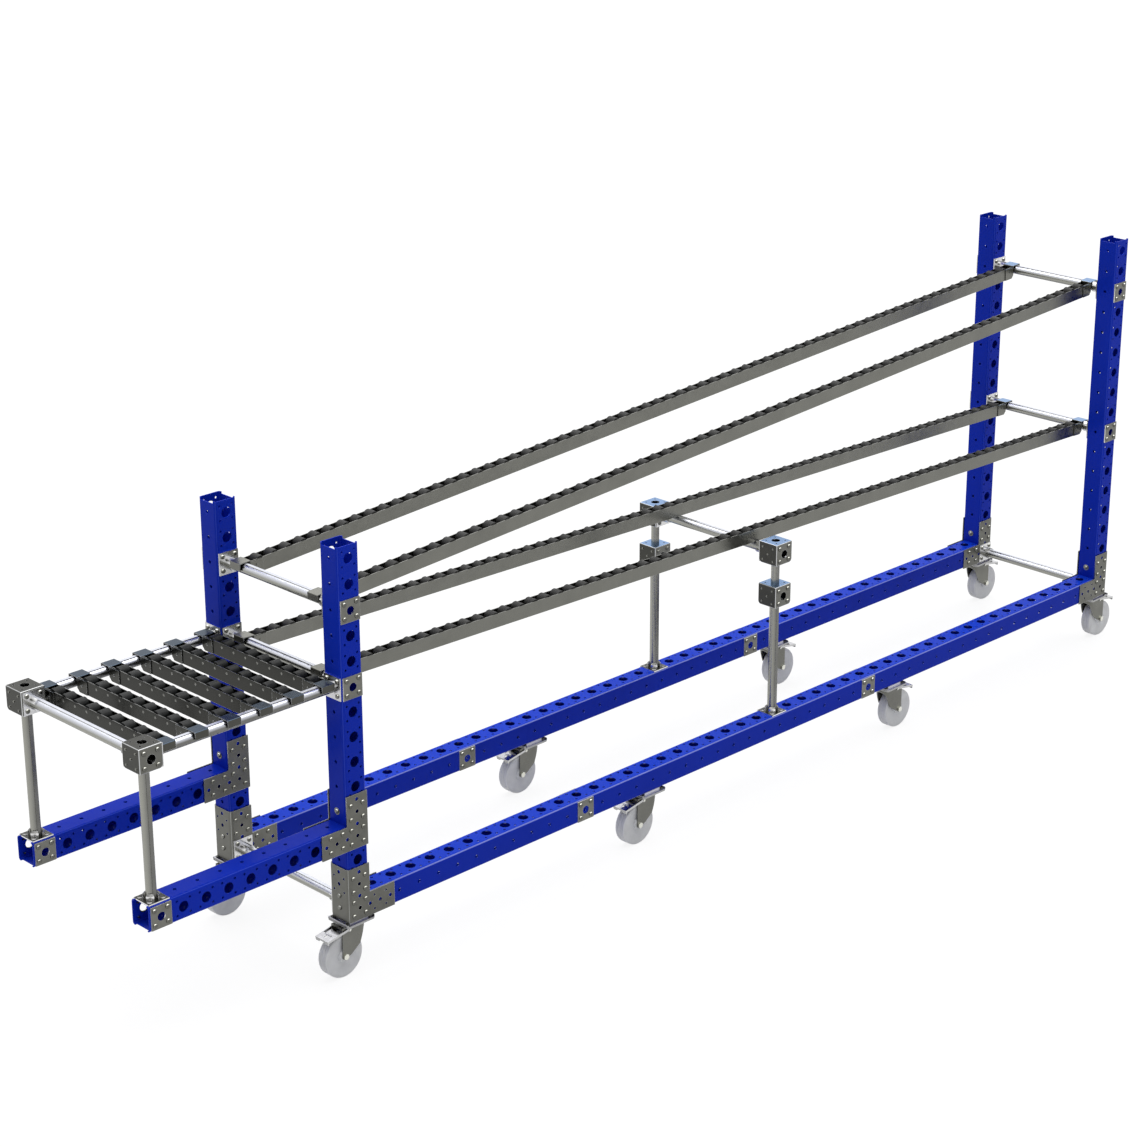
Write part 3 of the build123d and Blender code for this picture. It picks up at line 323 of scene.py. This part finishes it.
# Track and shelf channels: painted light on faces turned up, and painted shade that turns the inside between the
# rollers near black.
channel = steel(
    "channel_steel",
    tones=(grey(0.155), grey(0.18)),
    painted_top=grey(0.28),
    painted_side=grey(0.155),
    rough=(0.26, 0.34),
    edge=0.3,
    hollow=0.03,
)
shelf_channel = steel(
    "shelf_channel_steel",
    tones=(grey(0.032), grey(0.045)),
    painted_top=grey(0.10),
    painted_side=grey(0.035),
    rough=(0.16, 0.26),
    hollow=0.03,
)
# Shelf hooks: a bluish painted reflection on faces turned up.
shelf_hook = steel(
    "shelf_hook_steel", (grey(0.06), grey(0.08)), (0.05, 0.075, 0.11), grey(0.055), rough=(0.2, 0.3), edge=0.9
)
# Forks: faces turned up are painted much lighter, a painted light.
fork_steel = steel("fork_steel", (grey(0.13), grey(0.17)), grey(0.45), grey(0.12), rough=(0.26, 0.36), edge=0.4)
# Pedals: painted light on faces turned up and painted shade in hollows.
chrome = steel(
    "chrome",
    tones=(grey(0.40, 1.0), grey(0.55, 1.0)),
    painted_top=grey(0.62, 1.05),
    painted_side=grey(0.34, 1.0),
    rough=(0.10, 0.18),
    edge=0.9,
    hollow=0.02,
)
rubber = plastic("roller_black", (0.028, 0.028, 0.028), (0.050, 0.050, 0.048), (0.40, 0.55), specular=0.2)
dark_rubber = plastic("shelf_roller_black", (0.008, 0.009, 0.009), (0.020, 0.021, 0.021), (0.35, 0.50), specular=0.2)
# Painted highlight for the rounded band between tread and face of the wheels.
rim_highlight = plastic("wheel_rim_highlight", (0.95, 0.96, 0.98), (1.0, 1.0, 1.0), (0.25, 0.35), specular=0.6, fine=160.0)
nylon = plastic("wheel_nylon", (0.80, 0.81, 0.83), (0.90, 0.91, 0.93), (0.32, 0.48), specular=0.5, fine=160.0)

finishes = {
    "post_": blue,
    "base_beam_": base_blue,
    "shelf_beam_": blue,
    "foot_brackets": plate,
    "elbow_plates": plate,
    "square_plates": square,
    "caster_spacers": spacer,
    "caster_trays": tray,
    "joint_cubes": cube,
    "tube_sockets": bright,
    "foot_clamps": clamp,
    "frame_bolts": bolt,
    "caster_bolts": dark_bolt,
    "roller_axles": bolt,
    "lane_cross_tubes": tube,
    "base_cross_tubes": tube,
    "middle_columns": tube,
    "shelf_tubes": tube,
    "track_": channel,
    "shelf_tracks": shelf_channel,
    "lane_hooks": channel,
    "shelf_hooks": shelf_hook,
    "lane_rollers": rubber,
    "shelf_rollers": dark_rubber,
    "lead_roller_": rubber,
    "fork_": fork_steel,
    "wheel_": nylon,
    "pedal_": chrome,
}

for node_name, node in nodes.items():
    finish = next(look for start, look in finishes.items() if node_name.startswith(start))
    node.data.materials.clear()
    node.data.materials.append(finish)
    node.data.shade_smooth()
    node.data.set_sharp_from_angle(angle=smooth_angle)


def refinish(start, finish, belongs):
    """Second finish, painted reflection or painted highlight for the faces of some nodes that belong to it by their
    middle and normal.
    """
    for node_name, node in nodes.items():
        if node_name.startswith(start):
            node.data.materials.append(finish)
            for face in node.data.polygons:
                if belongs(node.matrix_world @ face.center, face.normal):
                    face.material_index = 1


# Painted pale blue sky reflection on faces turned up of the middle joint cubes and lane hooks.
refinish("joint_cubes", sky, lambda middle, normal: middle.x > -middle_cube_reach and normal.z > flat_share)
refinish("lane_hooks", sky, lambda middle, normal: middle.x > middle_cube_reach and normal.z > flat_share)
# Painted highlight on the rounded band between tread and face of each wheel.
refinish("wheel_", rim_highlight, lambda middle, normal: rim_share < abs(normal.y) < flat_share)
refinish("fork_", shiny_bolt, lambda middle, normal: abs(abs(middle.y) - caster_line) > fork_half_width)


def make_camera():
    """Camera that sees the rack as the photograph does."""
    data = bpy.data.cameras.new("camera")
    data.lens = camera_lens
    data.sensor_width = camera_sensor
    data.shift_x, data.shift_y = camera_shift
    data.clip_end = 200.0
    camera = bpy.data.objects.new("camera", data)
    camera.location = camera_place
    camera.rotation_euler = camera_turn
    bpy.context.scene.collection.objects.link(camera)
    bpy.context.scene.camera = camera


def make_sun(name, power, turn, spread):
    """Soft parallel light."""
    data = bpy.data.lights.new(name, "SUN")
    data.energy = power
    data.angle = spread
    lamp = bpy.data.objects.new(name, data)
    lamp.rotation_euler = turn
    bpy.context.scene.collection.objects.link(lamp)


def background_ray(tree):
    """1 for camera, glossy and transmission rays, and 0 for others."""
    path = tree.nodes.new("ShaderNodeLightPath")
    most = path.outputs["Is Camera Ray"]
    for ray in ("Is Glossy Ray", "Is Transmission Ray"):
        larger = tree.nodes.new("ShaderNodeMath")
        larger.operation = "MAXIMUM"
        tree.links.new(most, larger.inputs[0])
        tree.links.new(path.outputs[ray], larger.inputs[1])
        most = larger.outputs["Value"]
    return most


def make_world():
    """Even sky light, and a white background for what is seen directly or by reflection."""
    world = bpy.data.worlds.new("world")
    world.use_nodes = True
    tree = world.node_tree
    light = tree.nodes["Background"]
    light.inputs["Color"].default_value = (1.0, 1.0, 1.0, 1.0)
    light.inputs["Strength"].default_value = sky_level
    seen = tree.nodes.new("ShaderNodeBackground")
    seen.inputs["Color"].default_value = (1.0, 1.0, 1.0, 1.0)
    seen.inputs["Strength"].default_value = background_level
    mix = tree.nodes.new("ShaderNodeMixShader")
    tree.links.new(background_ray(tree), mix.inputs["Fac"])
    tree.links.new(light.outputs["Background"], mix.inputs[1])
    tree.links.new(seen.outputs["Background"], mix.inputs[2])
    tree.links.new(mix.outputs["Shader"], tree.nodes["World Output"].inputs["Surface"])
    bpy.context.scene.world = world


def make_floor():
    """Large pale floor: plain for bounced light, white with a soft shadow where it is seen."""
    mesh = bpy.data.meshes.new("floor")
    half = floor_half_size
    corners = [(-half, -half, 0), (half, -half, 0), (half, half, 0), (-half, half, 0)]
    mesh.from_pydata(corners, [], [(0, 1, 2, 3)])
    floor = bpy.data.objects.new("floor", mesh)
    bpy.context.scene.collection.objects.link(floor)
    material = bpy.data.materials.new("floor")
    material.use_nodes = True
    tree = material.node_tree
    tree.nodes.remove(tree.nodes["Principled BSDF"])
    bounced = tree.nodes.new("ShaderNodeBsdfDiffuse")
    bounced.inputs["Color"].default_value = (*floor_colour, 1.0)
    shaded = tree.nodes.new("ShaderNodeBsdfDiffuse")
    shaded.inputs["Color"].default_value = (*floor_shade, 1.0)
    glow = tree.nodes.new("ShaderNodeEmission")
    glow.inputs["Strength"].default_value = floor_glow
    seen = tree.nodes.new("ShaderNodeAddShader")
    tree.links.new(shaded.outputs["BSDF"], seen.inputs[0])
    tree.links.new(glow.outputs["Emission"], seen.inputs[1])
    mix = tree.nodes.new("ShaderNodeMixShader")
    tree.links.new(background_ray(tree), mix.inputs["Fac"])
    tree.links.new(bounced.outputs["BSDF"], mix.inputs[1])
    tree.links.new(seen.outputs["Shader"], mix.inputs[2])
    tree.links.new(mix.outputs["Shader"], tree.nodes["Material Output"].inputs["Surface"])
    mesh.materials.append(material)


make_camera()
make_sun("key", key_power, key_turn, key_spread)
make_world()
make_floor()

bpy.context.scene.view_settings.view_transform = "Standard"
